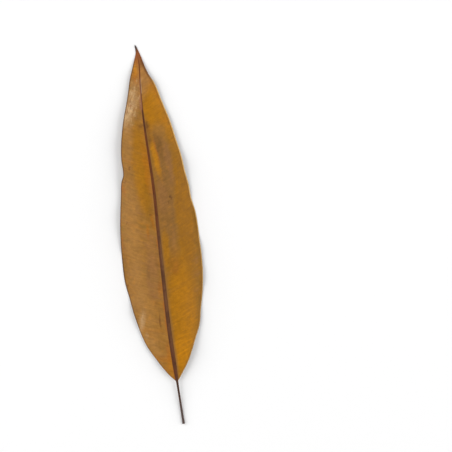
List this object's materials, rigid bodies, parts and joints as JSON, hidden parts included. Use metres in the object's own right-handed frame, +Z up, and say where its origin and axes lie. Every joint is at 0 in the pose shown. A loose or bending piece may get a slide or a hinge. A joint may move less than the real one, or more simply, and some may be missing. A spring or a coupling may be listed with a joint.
{
  "type": "preserved tropical leaf",
  "caption": "Long lance-shaped preserved leaf with a raised midrib, waved margins, a drawn-out tip and a slender cut stalk, lying on a surface.",
  "frame": {"origin": "on the surface that the leaf lies on, under the middle of its bounding box", "axes": "+Y from the cut end of the stalk towards the tip, +Z up, with the leaf's upper side up"},
  "size_m": [0.0964, 0.46, 0.0166],
  "materials": {
    "dried_leaf": "satin"
  },
  "bodies": {
    "root": {"leaf": "dried_leaf"}
  },
  "joints": []
}
